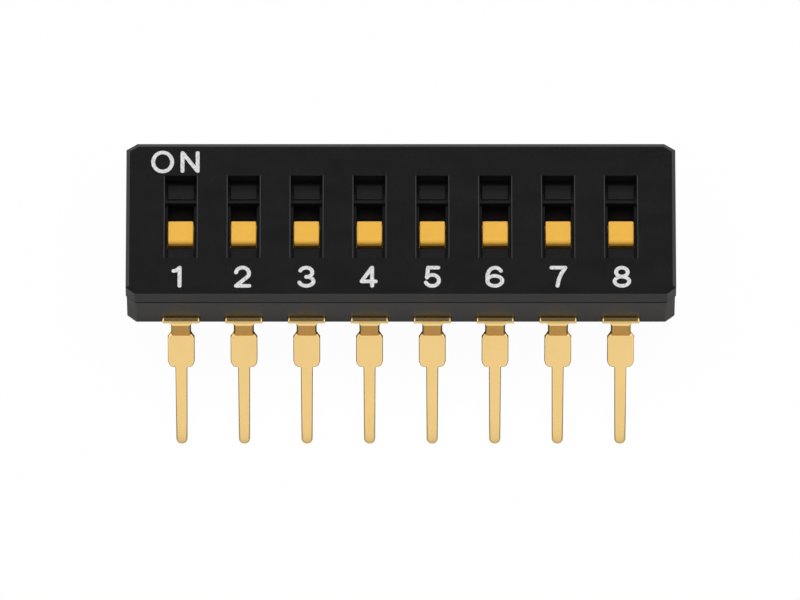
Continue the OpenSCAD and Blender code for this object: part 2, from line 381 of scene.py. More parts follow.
class Field:
    """A socket's value that varies over a surface; arithmetic on it adds Math nodes."""

    def __init__(self, finish, socket):
        self.finish = finish
        self.socket = socket

    def math(self, operation, first, second):
        return self.finish.node("ShaderNodeMath", {"operation": operation},
                                {0: first, 1: second})

    def __add__(self, other):
        return self.math("ADD", self, other)

    def __mul__(self, other):
        return self.math("MULTIPLY", self, other)

    def __abs__(self):
        return self.math("ABSOLUTE", self, 0.0)

    def highest(self, other):
        return self.math("MAXIMUM", self, other)

    __radd__ = __add__
    __rmul__ = __mul__


class Finish:
    """The node tree of a material or of the room."""

    def __init__(self, owner):
        self.owner = owner
        owner.use_nodes = True
        self.tree = owner.node_tree
        self.tree.nodes.clear()

    def node(self, kind, options=None, sockets=None, output=0):
        """Adds a node with its settings, values and links, and returns one of its outputs."""
        made = self.tree.nodes.new(kind)
        for name, value in (options or {}).items():
            if name == "stops":
                self.set_stops(made.color_ramp, value)
            else:
                setattr(made, name, value)
        for name, value in (sockets or {}).items():
            socket = made.inputs[name]
            if isinstance(value, Field):
                self.tree.links.new(value.socket, socket)
            else:
                socket.default_value = value
        return Field(self, made.outputs[output]) if made.outputs else None

    @staticmethod
    def set_stops(ramp, stops):
        """Sets a ramp's greys, each at its place from 0 to 1."""
        while len(ramp.elements) < len(stops):
            ramp.elements.new(1.0)
        for element, (place, grey) in zip(ramp.elements, stops):
            element.position = place
            element.color = (grey, grey, grey, 1.0)

    def place(self, stretch=(1, 1, 1)):
        """Object coordinates in millimetres, stretched along X, Y and Z."""
        point = self.node("ShaderNodeTexCoord", output="Object")
        return self.node("ShaderNodeVectorMath", {"operation": "MULTIPLY"},
                         {0: point, 1: [part / MM for part in stretch]})

    def part(self, vector, axis):
        """One coordinate of a vector."""
        return self.node("ShaderNodeSeparateXYZ", None, {0: vector}, output=axis)

    def rays(self, *kinds):
        """One for rays of these kinds, and zero for the rest."""
        first, *others = [self.node("ShaderNodeLightPath", output=f"Is {kind} Ray")
                          for kind in kinds]
        for other in others:
            first = first.highest(other)
        return first

    def spread(self, value, ends, results, smooth=False):
        """Turns a range of values into a range of results, level outside it."""
        options = {"interpolation_type": "SMOOTHSTEP"} if smooth else None
        return self.node("ShaderNodeMapRange", options,
                         {"Value": value, "From Min": ends[0], "From Max": ends[1],
                          "To Min": results[0], "To Max": results[1]})

    def between(self, value, low, high, fade):
        """One where a value lies between two limits, fading to zero outside them."""
        return (self.spread(value, (low - fade, low), (0.0, 1.0), smooth=True)
                * self.spread(value, (high, high + fade), (1.0, 0.0), smooth=True))

    def ramp(self, stops, value):
        """Greys that follow a value from 0 to 1."""
        return self.node("ShaderNodeValToRGB", {"stops": stops}, {"Fac": value})

    def noise(self, place, scale, detail=2.0, roughness=0.5):
        return self.node("ShaderNodeTexNoise", None,
                         {"Vector": place, "Scale": scale, "Detail": detail,
                          "Roughness": roughness}, output="Fac")

    def mix(self, amount, *colours, **options):
        """A colour between two, each a plain colour or a field."""
        first, second = [value if isinstance(value, Field) else (*value, 1)
                         for value in colours]
        return self.node("ShaderNodeMix", {"data_type": "RGBA", **options},
                         {"Factor": amount, 6: first, 7: second}, output=2)

    def bump(self, height, depth, strength):
        """Relief of a depth in millimetres."""
        return self.node("ShaderNodeBump", None,
                         {"Height": height, "Distance": depth * MM, "Strength": strength})

    def surface(self, **sockets):
        named = {name.replace("_", " "): value for name, value in sockets.items()}
        shader = self.node("ShaderNodeBsdfPrincipled", None, named)
        self.node("ShaderNodeOutputMaterial", None, {"Surface": shader})
        return self.owner


def shade(tint, amount):
    return [min(1.0, part * amount) for part in tint]


# Heights in millimetres: painted light below and above a shelf, painted shade below and above the
# seam
PAINTED_LIGHT_DEPTH, PAINTED_LIGHT_RISE = 0.05, 0.01
SEAM_SHADE_DEPTH, SEAM_SHADE_RISE = 0.03, 0.05
NOWHERE = (-1.0, -0.9)   # under the pin tips, where nothing is


def moulded_black(name, tint, sheen, gloss, painted_light_band=NOWHERE, painted_shade_band=NOWHERE):
    """Matt black moulding: fine grain, faint flow marks, and painted light or painted shade over
    bands of height.
    """
    finish = Finish(bpy.data.materials.new(name))
    place = finish.place()
    grain = finish.noise(place, scale=9.0, detail=3.0, roughness=0.65)
    fine = finish.noise(place, scale=45.0)
    flow = finish.noise(finish.place((0.6, 1.4, 1.0)), scale=0.9, detail=3.0, roughness=0.55)
    height = finish.part(place, "Z")
    facing = finish.part(finish.node("ShaderNodeNewGeometry", output="Normal"), "Z")
    # Painted light: up-facing faces in the shelves' band of heights get a lighter black, stronger
    # towards the back, in place of light that the slot's walls keep off
    level = finish.between(facing, 0.9, 1.1, fade=0.3)
    behind = finish.spread(finish.part(place, "Y"), (-0.8, 0.8), (0.6, 1.0))
    painted_light = finish.between(height, *painted_light_band, fade=0.05) * level * behind
    # Painted shade: a near-black, rougher band at the parting-line groove, where the cover's
    # overhang shades it
    painted_shade = finish.between(height, *painted_shade_band, fade=0.012)
    own_colour = finish.mix(flow * 0.3 + grain * 0.7, shade(tint, 0.35), shade(tint, 1.65))
    with_painted_light = finish.mix(painted_light * (0.6 + grain * 0.6), own_colour, shade(tint, 1.8))
    return finish.surface(
        Base_Color=finish.mix(painted_shade, with_painted_light, shade(tint, 0.15)),
        Roughness=0.12 + flow * 0.1 + grain * 0.06 + painted_shade * 0.6,
        Specular_IOR_Level=gloss,
        Specular_Tint=(*sheen, 1.0),
        Normal=finish.bump(grain * 0.7 + fine * 0.3, depth=0.004, strength=0.5),
    )


FOOT_SHADE_REACH = 0.078      # how far the painted shade reaches back from the knob's front, in millimetres


def amber_plastic(tint, foot_top, knob_front):
    """Smooth slider plastic with faint mould polish lines, and painted shade at the knob's foot."""
    finish = Finish(bpy.data.materials.new("amber plastic"))
    place = finish.place()
    lines = finish.noise(finish.place((1.0, 0.08, 0.3)), scale=16.0)
    cloud = finish.noise(place, scale=2.2, detail=3.0)
    low = finish.between(finish.part(place, "Z"), SLIDER_LOW.z, foot_top, fade=0.11)
    front = finish.between(finish.part(place, "Y"), knob_front - PAST,
                           knob_front + FOOT_SHADE_REACH, fade=0.04)
    # Painted shade: the knob's lower front, in the gap beside the OFF shelf, turns deep amber and
    # rougher
    painted_foot_shade = low * front
    own_colour = finish.mix(cloud, shade(tint, 0.94), shade(tint, 1.05))
    return finish.surface(
        Base_Color=finish.mix(painted_foot_shade, own_colour, (tint[0] * 0.15, tint[1] * 0.07, 0.0)),
        Roughness=0.26 + lines * 0.12 + painted_foot_shade * 0.5,
        Specular_IOR_Level=0.5,
        Normal=finish.bump(lines, depth=0.002, strength=0.5),
    )


def gold_plate(name, tint):
    """Thin gold over rolled sheet: brushing along the lead, and slightly uneven plating."""
    finish = Finish(bpy.data.materials.new(name))
    brushing = finish.noise(finish.place((1.0, 0.035, 0.035)), scale=26.0, detail=3.0,
                            roughness=0.6)
    grain = finish.noise(finish.place(), scale=9.0, detail=4.0, roughness=0.6)
    cloud = finish.noise(finish.place(), scale=0.8)
    return finish.surface(
        Base_Color=finish.mix(cloud * 0.5 + grain * 0.5, shade(tint, 0.93), shade(tint, 1.06)),
        Metallic=1.0,
        Specular_Tint=(0.95, 0.72, 0.40, 1.0),
        Roughness=0.14 + brushing * 0.12 + grain * 0.08,
        Normal=finish.bump(brushing * 0.6 + grain * 0.4, depth=0.0022, strength=0.6),
    )


def pad_ink(tint):
    """Pad-printed ink: a dry white film that lets a little of the black grain through."""
    finish = Finish(bpy.data.materials.new("pad ink"))
    speckle = finish.noise(finish.place(), scale=13.0, detail=3.0, roughness=0.6)
    thin = finish.ramp([(0.3, 0.55), (0.62, 1.0)], speckle)
    return finish.surface(
        Base_Color=finish.mix(1.0, tint, thin, blend_type="MULTIPLY"),
        Roughness=0.62,
        Specular_IOR_Level=0.3,
        Normal=finish.bump(speckle, depth=0.003, strength=0.6),
    )


# ---- Cover ----

def body_block(name, low, high, body):
    """A box with its four upright edges cut, more along the row than front to back."""
    squeeze = body.corner_y / body.corner_x
    made = block(name, (low.x * squeeze, low.y, low.z), (high.x * squeeze, high.y, high.z))
    shape(made, "EDGE", lambda e: near(e.verts[0].co.x, e.verts[1].co.x)
          and near(e.verts[0].co.y, e.verts[1].co.y),
          bpy.ops.mesh.bevel, offset=body.corner_y, segments=1)
    made.data.transform(Matrix.Diagonal((1 / squeeze, 1, 1, 1)))
    for vert in made.data.vertices:
        if near(vert.co.y, high.y):
            vert.co.x -= math.copysign(body.back_corner, vert.co.x)
    return made


def slot_tool(sizes, x):
    """What is cut out for one slot: the bevelled slot, the groove round its shelves, the hole."""
    half, hole = sizes.slot_w / 2, sizes.hole_l / 2
    front, back = -hole - sizes.front_shelf, hole + sizes.back_shelf
    reach, shelf_z = (back - front) / 2, TOP_Z - sizes.depth
    made = block("slot", (x - half, front, shelf_z), (x + half, back, TOP_Z - sizes.bevel_h))
    shape(made, "FACE", lambda f: f.normal.z > 0.5, scaled_rise, rise=sizes.bevel_h,
          stretch_x=1 + sizes.bevel_w / half, stretch_y=1 + sizes.end_bevel / reach,
          centre=(x, (front + back) / 2, TOP_Z))
    shape(made, "FACE", lambda f: f.normal.z > 0.5, bpy.ops.mesh.extrude_region_move,
          TRANSFORM_OT_translate={"value": (0, 0, 2 * PAST)})
    moat = block("moat", (x - half, front, shelf_z - sizes.moat_h),
                 (x + half, back, shelf_z + PAST / 2))
    lip_end = hole + 2 * sizes.lip
    for low, high in ((front + sizes.moat_w, -hole - sizes.relief + HAIR),
                      (lip_end + sizes.lip_gap, back - sizes.moat_w)):
        combine(moat, slot_shelf(sizes, x, low, high), "DIFFERENCE")
    combine(moat, block("lip_foot", (x - half, hole - HAIR, shelf_z - FAR),
                        (x + half, lip_end, shelf_z)), "DIFFERENCE")
    combine(made, moat, "UNION")
    half_hole = sizes.hole_w / 2
    combine(made, block("hole", (x - half_hole, -hole - sizes.relief, COVER_LOW.z - 2 * PAST),
                        (x + half_hole, hole, shelf_z + PAST)), "UNION")
    return made


def slot_shelf(sizes, x, low, high):
    """One shelf with rounded edges, between two places front to back."""
    half, top = sizes.slot_w / 2 - sizes.moat_w, TOP_Z - sizes.depth
    made = block("shelf", (x - half, low, top - FAR), (x + half, high, top))
    shape(made, "EDGE", lambda e: all(near(v.co.z, top) for v in e.verts),
          bpy.ops.mesh.bevel, offset=sizes.shelf_edge, segments=3)
    return made


def slot_lip(sizes, x):
    """The round bar across a slot where the ON shelf ends."""
    clear_selection()
    bpy.ops.mesh.primitive_cylinder_add(
        vertices=48, radius=sizes.lip, depth=sizes.slot_w - sizes.moat_w,
        location=(x, sizes.hole_l / 2 + sizes.lip, TOP_Z - sizes.depth - sizes.lip_drop),
        rotation=(0, math.pi / 2, 0))
    return take_new("lip")


def row_of(made):
    """The piece repeated along the row, as one object."""
    return join(made, copies(made, made.name)[1:])


def build_cover(body, sizes):
    low, high = COVER_LOW.copy(), COVER_HIGH.copy()
    low.z, high.z = PARTING_Z + body.seam_up, TOP_Z - body.bevel_h
    made = body_block("cover_shell", low, high, body)
    shape(made, "FACE", lambda f: f.normal.z > 0.5,
          bpy.ops.mesh.inset, thickness=body.bevel_w, depth=body.bevel_h)
    shape(made, "FACE", lambda f: f.normal.z < -0.9, step_in,
          thickness=body.rim + body.plug_gap, rise=COVER_LOW.z - low.z)
    combine(made, row_of(slot_tool(sizes, FIRST_X)), "DIFFERENCE")
    combine(made, row_of(slot_lip(sizes, FIRST_X)), "UNION")
    soften(made, body.edge, crease=BODY_CREASE)
    return made


# ---- Base ----

def build_base(body, lead):
    inset = Vector((body.base_inset, 0, 0))
    low, high = BASE_LOW + inset, BASE_HIGH - inset
    high.z -= body.seam_h
    made = body_block("base_shell", low, high, body)
    shape(made, "FACE", lambda f: f.normal.z > 0.5, step_in,
          thickness=body.seam_d, rise=body.seam_h)
    seat = Vector((COVER_HIGH.x - body.rim, COVER_HIGH.y - body.rim, PARTING_Z + 2 * PAST))
    combine(made, block("seat", (-seat.x, -seat.y, COVER_LOW.z), seat), "DIFFERENCE")
    half_w, half_l = body.well_w / 2, COVER_HIGH.y - body.wall
    x = FIRST_X
    well = block("well", (x - half_w, -half_l, LEAD_HIGH.z + body.floor_z),
                 (x + half_w, half_l, COVER_LOW.z + PAST))
    combine(well, block("groove", (x - body.groove_w / 2, -body.groove_l / 2, LEAD_HIGH.z),
                        (x + body.groove_w / 2, body.groove_l / 2, COVER_LOW.z)), "UNION")
    combine(made, row_of(well), "DIFFERENCE")
    half_lead = lead.shoulder_w / 2 + lead.hole_gap
    low_z, high_z = LEAD_HIGH.z - lead.sheet - lead.hole_gap, LEAD_HIGH.z + lead.hole_gap
    for side in (-1, 1):
        low_y, high_y = sorted((side * (BASE_HIGH.y - lead.anchor), side * COVER_HIGH.y))
        hole = block("lead_hole", (x - half_lead, low_y, low_z), (x + half_lead, high_y, high_z))
        combine(made, row_of(hole), "DIFFERENCE")
    soften(made, body.low_edge, crease=BODY_CREASE)
    return made


# ---- Sliders ----

def knob_ends(sizes):
    """Where a knob begins and ends, front to back, with its slider at OFF."""
    middle = (SLIDER_LOW.y + SLIDER_HIGH.y) / 2
    return middle - sizes.knob_l / 2, middle + sizes.knob_l / 2


def build_slider(sizes):
    """A knob on its plate, with a seat under the plate for the moving contact."""
    x = FIRST_X
    half_w, half_seat = sizes.knob_w / 2, sizes.seat_w / 2
    front, back = knob_ends(sizes)
    plate_top = SLIDER_LOW.z + sizes.plate_t
    knob = block("knob", (x - half_w, front, plate_top - PAST), (x + half_w, back, SLIDER_HIGH.z))

    def top_edge(edge, y):
        return all(near(v.co.z, SLIDER_HIGH.z) and near(v.co.y, y) for v in edge.verts)

    def side_edge(edge):
        return any(all(near(v.co.x, x + end * half_w) for v in edge.verts) for end in (-1, 1))

    shape(knob, "EDGE", lambda e: top_edge(e, front),
          bpy.ops.mesh.bevel, offset=sizes.crown, segments=6)
    shape(knob, "EDGE", lambda e: side_edge(e) or top_edge(e, back),
          bpy.ops.mesh.bevel, offset=sizes.corner, segments=4)
    combine(knob, block("foot", (x - FAR, front - PAST, plate_top - PAST / 2),
                        (x + FAR, front + sizes.foot_in, TOP_Z - sizes.foot_z)),
            "DIFFERENCE")
    plate = block("plate", SLIDER_LOW, (SLIDER_HIGH.x, SLIDER_HIGH.y, plate_top))
    seat = block("seat", (x - half_seat, SLIDER_LOW.y - PAST, SLIDER_LOW.z - PAST),
                 (x + half_seat, SLIDER_HIGH.y + PAST, SLIDER_LOW.z + sizes.seat))
    combine(plate, seat, "DIFFERENCE")
    combine(plate, knob, "UNION")
    soften(plate, sizes.plate_edge)
    return plate


# ---- Terminals ----

# Into how many steps a bend of the sheet is cut
WALL_BEND_STEPS = 12
KINK_STEPS = 5


class Strip:
    """The middle line of a terminal's sheet, in the plane of Y and Z."""

    def __init__(self, pad_end, lead):
        half = lead.sheet / 2
        wall_y = BASE_HIGH.y
        self.start = Vector((pad_end, LEAD_HIGH.z - half))
        splay = lead.group.splay
        self.spans = [
            (wall_y - pad_end, 0.0),
            ((lead.bend_r + half) * math.pi / 2, -math.pi / 2),
            (lead.neck_l - lead.sheet - lead.bend_r, 0.0),
            ((lead.kink_r + half) * splay, splay),
            (lead.blade_l + lead.leg_l, 0.0),
        ]

    def reach(self, count):
        """The length of the first spans."""
        return sum(span for span, _ in self.spans[:count])

    def point(self, distance, off):
        """A point at a distance along the sheet, and off it to the outer side."""
        spot, heading = self.start.copy(), 0.0
        for span, turn in self.spans:
            part = min(distance, span)
            if turn:
                swept = turn * part / span
                radius = span / turn
                spot += radius * Vector((math.sin(heading + swept) - math.sin(heading),
                                         math.cos(heading) - math.cos(heading + swept)))
                heading += swept
            else:
                spot += part * Vector((math.cos(heading), math.sin(heading)))
            distance -= part
            if distance <= 0:
                break
        return spot + off * Vector((-math.sin(heading), math.cos(heading)))


def arc(cx, cy, rx, ry, start, end, steps=20):
    """Points round part of an ellipse, between two angles in degrees."""
    angles = [math.radians(start + (end - start) * k / steps) for k in range(steps + 1)]
    return [(cx + rx * math.cos(a), cy + ry * math.sin(a)) for a in angles]


def sheet_outline(strip, lead):
    """One edge of the flat sheet, as distances along it and half widths, from pad to tip.

    The tip's arc stops just short of the middle line, where the other edge's arc begins.
    """
    wall, kink, leg, tip = (strip.reach(count) for count in (1, 3, 4, 5))
    outer_r = lead.bend_r + lead.sheet
    shoulder = wall + math.acos(1 - lead.shoulder_drop / outer_r) * (lead.bend_r + lead.sheet / 2)
    neck, blade, wide = lead.neck_w / 2, lead.blade_w / 2, lead.shoulder_w / 2
    splay = lead.group.splay
    bent = (lead.kink_r + lead.sheet) * math.sin(splay)
    flare_end = leg + (lead.flare_l - bent) / math.cos(splay)
    blade_end = leg + lead.blade_l
    points = [(0, lead.pad_w / 2), (wall - lead.anchor, lead.pad_w / 2),
              (wall - lead.anchor, wide)]
    points += arc(shoulder - lead.corner_r, wide - lead.corner_r, lead.corner_r, lead.corner_r,
                  90, 0, 3)
    points += arc(shoulder + lead.shoulder_r, neck + lead.shoulder_r,
                  lead.shoulder_r, lead.shoulder_r, 180, 270, 4)
    points += [(kink, neck), (flare_end, blade)]
    points += arc(blade_end - lead.blade_rise, blade - lead.blade_r,
                  lead.blade_rise, lead.blade_r, 90, 0, 7)
    points += arc(blade_end + lead.root_r, lead.leg_w / 2 + lead.root_r,
                  lead.root_r, lead.root_r, 180, 270, 3)
    points += arc(tip - lead.tip_w / 2, 0, lead.tip_w / 2, lead.tip_w / 2, 90, 8, 8)
    return points


def build_terminal(name, pad_end, side, lead):
    """A flat blank cut to its outline, rounded along its edges and bent at the wall and kink."""
    strip = Strip(pad_end, lead)
    edge = sheet_outline(strip, lead)
    outline = [(half, along) for along, half in edge]
    outline += [(-half, along) for along, half in reversed(edge)]
    half = lead.sheet / 2
    made = flat_prism(name, [outline], -half, half)
    for level, radius in ((half, lead.edge), (-half, lead.roll)):
        shape(made, "EDGE", lambda e: all(near(v.co.z, level) for v in e.verts),
              bpy.ops.mesh.bevel, offset=radius, segments=3, clamp_overlap=False)
    mesh = bmesh.new()
    mesh.from_mesh(made.data)
    for before, steps in ((1, WALL_BEND_STEPS), (3, KINK_STEPS)):
        first, last = strip.reach(before), strip.reach(before + 1)
        for step in range(steps + 1):
            along = first + (last - first) * step / steps
            parts = [*mesh.verts, *mesh.edges, *mesh.faces]
            bmesh.ops.bisect_plane(mesh, geom=parts, plane_co=(0, along, 0),
                                   plane_no=(0, 1, 0), dist=CLOSE / 10)
    for vert in mesh.verts:
        spot = strip.point(vert.co.y, vert.co.z)
        vert.co = (FIRST_X + side * vert.co.x, side * spot.x, spot.y)
    mesh.to_mesh(made.data)
    mesh.free()
    smooth_flats(made, SMOOTH)
    return made


# ---- Print ----

# Each sign as its spacing width and the middle lines of its strokes, for a height of about 1
SIGNS = {
    "O": (0.95, [arc(0.475, 0.5, 0.385, 0.43, 0, 360, 40)]),
    "N": (0.785, [[(0.085, 0.09), (0.085, 0.91)], [(0.1, 0.9), (0.685, 0.1)],
                  [(0.7, 0.09), (0.7, 0.91)]]),
    "1": (0.63, [[(0.33, 0.09), (0.33, 0.91)],
                 [(0.085, 0.76), (0.17, 0.775), (0.25, 0.82), (0.32, 0.905)]]),
    "2": (0.72, [arc(0.36, 0.655, 0.265, 0.26, 172, -32, 16) + [(0.14, 0.13)],
                 [(0.1, 0.09), (0.635, 0.09)]]),
    "3": (0.71, [arc(0.37, 0.70, 0.25, 0.21, 160, -90, 16),
                 arc(0.378, 0.295, 0.29, 0.205, 90, -165, 18)]),
    "4": (0.77, [[(0.51, 0.09), (0.51, 0.91)], [(0.09, 0.29), (0.655, 0.29)],
                 [(0.09, 0.3), (0.49, 0.9)]]),
    "5": (0.70, [[(0.59, 0.91), (0.18, 0.91)], [(0.18, 0.9), (0.13, 0.46)],
                 arc(0.345, 0.335, 0.275, 0.25, 142, -158, 18)]),
    "6": (0.84, [arc(0.39, 0.315, 0.3, 0.225, 0, 360, 30),
                 arc(0.4, 0.5, 0.31, 0.41, 40, 190, 16) + [(0.092, 0.34)]]),
    "7": (0.78, [[(0.09, 0.91), (0.65, 0.91)],
                 [(0.65, 0.9), (0.5, 0.66), (0.39, 0.39), (0.335, 0.09)]]),
    "8": (0.79, [arc(0.385, 0.71, 0.235, 0.2, 0, 360, 30),
                 arc(0.385, 0.295, 0.295, 0.205, 0, 360, 30)]),
}

CAP_STEPS = 8            # steps round a stroke's end
MITRE = 0.5              # the least cosine that widens a stroke's corner


def stroke_outline(points, half):
    """The closed outline of a stroke along a line of points, with round ends."""
    spots = [Vector(point) for point in points]
    ways = [(b - a).normalized() for a, b in zip(spots, spots[1:])]
    left, right = [], []
    for index, spot in enumerate(spots):
        before, after = ways[max(index - 1, 0)], ways[min(index, len(ways) - 1)]
        way = (before + after).normalized()
        side = Vector((-way.y, way.x)) * half / max(MITRE, way.dot(after))
        left.append(spot + side)
        right.append(spot - side)

    def cap(spot, way):
        side = Vector((way.y, -way.x)) * half
        turns = [math.pi * k / CAP_STEPS for k in range(1, CAP_STEPS)]
        return [spot + side * math.cos(t) + way * half * math.sin(t) for t in turns]

    return right + cap(spots[-1], ways[-1]) + left[::-1] + cap(spots[0], -ways[0])


def ring_outlines(points, half):
    """The outer and inner outlines of a stroke along a closed line of points."""
    spots = [Vector(point) for point in points[:-1]]
    middle = sum(spots, Vector((0, 0))) / len(spots)
    rays = [spot - middle for spot in spots]
    return [[middle + ray * (1 + grow / ray.length) for ray in rays] for grow in (half, -half)]


def flat_prism(name, outlines, low, high):
    """A low block with an outline, or with an outline and a hole in it."""
    mesh = bmesh.new()
    rings = [[mesh.verts.new((x, y, low)) for x, y in outline] for outline in outlines]
    if len(rings) == 1:
        faces = [mesh.faces.new(rings[0])]
    else:
        outer, inner = rings
        count = len(outer)
        faces = [mesh.faces.new((outer[k], outer[(k + 1) % count],
                                 inner[(k + 1) % count], inner[k])) for k in range(count)]
    top = bmesh.ops.extrude_face_region(mesh, geom=faces)["geom"]
    lifted = [part for part in top if isinstance(part, bmesh.types.BMVert)]
    bmesh.ops.translate(mesh, verts=lifted, vec=(0, 0, high - low))
    bmesh.ops.recalc_face_normals(mesh, faces=mesh.faces)
    data = bpy.data.meshes.new(name)
    mesh.to_mesh(data)
    mesh.free()
    made = bpy.data.objects.new(name, data)
    bpy.context.collection.objects.link(made)
    return made


def build_sign(sign, x, y, sizes):
    """One printed letter or number, with its left front corner at x and y."""
    half = sizes.stroke / 2
    low, high = TOP_Z - sizes.ink_t, TOP_Z + sizes.ink_t
    strokes = []
    for line in SIGNS[sign][1]:
        spots = [(x + px * sizes.height, y + py * sizes.height) for px, py in line]
        closed = near(math.dist(spots[0], spots[-1]), 0)
        outlines = ring_outlines(spots, half) if closed else [stroke_outline(spots, half)]
        strokes.append(flat_prism("stroke", outlines, low, high))
    made, *others = strokes
    for other in others:
        combine(made, other, "UNION")
    return made


def build_legend(sizes):
    """The word at the ON side and a number under each slot."""
    height = sizes.height
    signs = []
    x = FIRST_X - sizes.word_x
    for sign in "ON":
        signs.append(build_sign(sign, x, sizes.word_y, sizes))
        x += SIGNS[sign][0] * height + sizes.letter_gap
    for place in PLACES:
        sign = str(place)
        middle = FIRST_X - sizes.number_x + (place - 1) * sizes.number_pitch
        left = middle - SIGNS[sign][0] * height / 2
        signs.append(build_sign(sign, left, -sizes.number_y, sizes))
    made = join(signs[0], signs[1:])
    made.name = made.data.name = "printed_legend"
    return made


# ---- Operators ----

class SWITCH_OT_cover(bpy.types.Operator):
    """Builds the cover with its slots, shelves and lips"""

    bl_idname = "switch.cover"
    bl_label = "Cover"

    def execute(self, context):
        chosen = settings(context)
        body, slot = chosen.moulding, Lengths(chosen.slot)
        made = build_cover(Lengths(body), slot)
        shelf_z = TOP_Z - slot.depth
        # The shelves get painted light, a lighter black where the slot's walls shade them
        finish = moulded_black("cover plastic", body.black, body.cover_sheen, body.cover_gloss,
                               painted_light_band=(shelf_z - PAINTED_LIGHT_DEPTH, shelf_z + PAINTED_LIGHT_RISE))
        deliver(made, "housing", finish, ["cover"])
        return {"FINISHED"}


class SWITCH_OT_base(bpy.types.Operator):
    """Builds the base with its wells and lead holes"""

    bl_idname = "switch.base"
    bl_label = "Base"

    def execute(self, context):
        chosen = settings(context)
        body = chosen.moulding
        made = build_base(Lengths(body), Lengths(chosen.terminal))
        seam_low = PARTING_Z - Lengths(body).seam_h
        # The parting-line groove gets painted shade, a near-black band
        finish = moulded_black("base plastic", body.dark, body.base_sheen, body.base_gloss,
                               painted_shade_band=(seam_low - SEAM_SHADE_DEPTH, PARTING_Z + SEAM_SHADE_RISE))
        deliver(made, "housing", finish, ["base"])
        return {"FINISHED"}


class SWITCH_OT_sliders(bpy.types.Operator):
    """Builds the row of amber sliders"""

    bl_idname = "switch.sliders"
    bl_label = "Sliders"

    def execute(self, context):
        chosen = settings(context).slider
        sizes = Lengths(chosen)
        # The knob's lower front gets painted shade
        finish = amber_plastic(chosen.amber, TOP_Z - sizes.foot_z, knob_ends(sizes)[0])
        row = copies(build_slider(sizes), "amber_slider")
        for place, made in zip(PLACES, row):
            deliver(made, f"switch_{place}", finish, [f"slider_{place}"])
        return {"FINISHED"}


class SWITCH_OT_contacts(bpy.types.Operator):
    """Gives the moving contacts their gold plating"""

    bl_idname = "switch.contacts"
    bl_label = "Moving contacts"

    def execute(self, context):
        finish = gold_plate("contact plating", settings(context).terminal.gold)
        for place in PLACES:
            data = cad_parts[f"contact_{place}"].data
            data.materials.clear()
            data.materials.append(finish)
        return {"FINISHED"}


class SWITCH_OT_terminals(bpy.types.Operator):
    """Builds both rows of gold terminals"""

    bl_idname = "switch.terminals"
    bl_label = "Terminals"

    def execute(self, context):
        chosen = settings(context).terminal
        lead = Lengths(chosen)
        finish = gold_plate("terminal plating", chosen.gold)
        rows = [("front", -1, FRONT_PAD), ("back", 1, LEAD_LOW.y)]
        for row, side, pad_end in rows:
            first = build_terminal(f"{row}_pin", pad_end, side, lead)
            for place, made in zip(PLACES, copies(first, f"{row}_pin")):
                deliver(made, "housing", finish, [f"{row}_terminal_{place}"])
        return {"FINISHED"}


class SWITCH_OT_legend(bpy.types.Operator):
    """Prints the word and the numbers on the top face"""

    bl_idname = "switch.legend"
    bl_label = "Print"

    def execute(self, context):
        chosen = settings(context).legend
        deliver(build_legend(Lengths(chosen)), "housing", pad_ink(chosen.ink))
        return {"FINISHED"}


# ---- Stage ----

# Painted shadow: how bright the floor glows in shiny surfaces, darker close to the package, by its
# distance from the row in millimetres
PAINTED_FLOOR_SHADOW = [(5.0, 0.02), (5.9, 0.12), (6.1, 0.36), (6.35, 0.54), (6.7, 0.52),
                (6.95, 0.28), (7.6, 0.32), (8.4, 0.75), (9.2, 1.0)]
FLOOR_REACH = 10.0       # the distance at the ramp's end, in millimetres
FLOOR_NARROW = 0.53      # how much of a distance along the row counts as one across it
FLOOR_WHITE = 0.97       # how much of the floor's white glows by itself; the rest is lit

# How bright the room is in shiny surfaces: straight above is 0, the dark ceiling's rim 0.5
ROOM_MIRROR = [(0.0, 0.24), (0.3, 0.09), (0.43, 0.1), (0.48, 0.45), (0.55, 1.0)]
DARK_CEILING = (0.42, 0.70)  # half width and half depth of the dark ceiling
CEILING_SHIFT = 0.07         # how far forwards the dark ceiling lies, in half depths


def pale_floor():
    """A white floor that shows only a soft shadow, with a painted shadow in its glow to shiny
    surfaces close to the package.
    """
    finish = Finish(bpy.data.materials.new("pale floor"))
    diffuse = finish.node("ShaderNodeBsdfDiffuse", None, {"Color": (0.9, 0.9, 0.9, 1)})
    place = finish.place()
    across, along = abs(finish.part(place, "Y")), abs(finish.part(place, "X"))
    reach = across.highest(along * FLOOR_NARROW)
    # Painted shadow: the glow that shiny surfaces see is dimmed by distance from the package
    mirrored = finish.ramp([(far / FLOOR_REACH, grey) for far, grey in PAINTED_FLOOR_SHADOW],
                           reach * (1 / FLOOR_REACH))
    glow = finish.node("ShaderNodeMix", None,
                       {0: finish.rays("Glossy"), 2: 1.0, 3: mirrored})
    white = finish.node("ShaderNodeEmission", None, {"Color": (1, 1, 1, 1), "Strength": glow})
    seen = finish.rays("Camera", "Glossy", "Transmission")
    mixed = finish.node("ShaderNodeMixShader", None,
                        {0: seen * FLOOR_WHITE, 1: diffuse, 2: white})
    finish.node("ShaderNodeOutputMaterial", None, {"Surface": mixed})
    return finish.owner


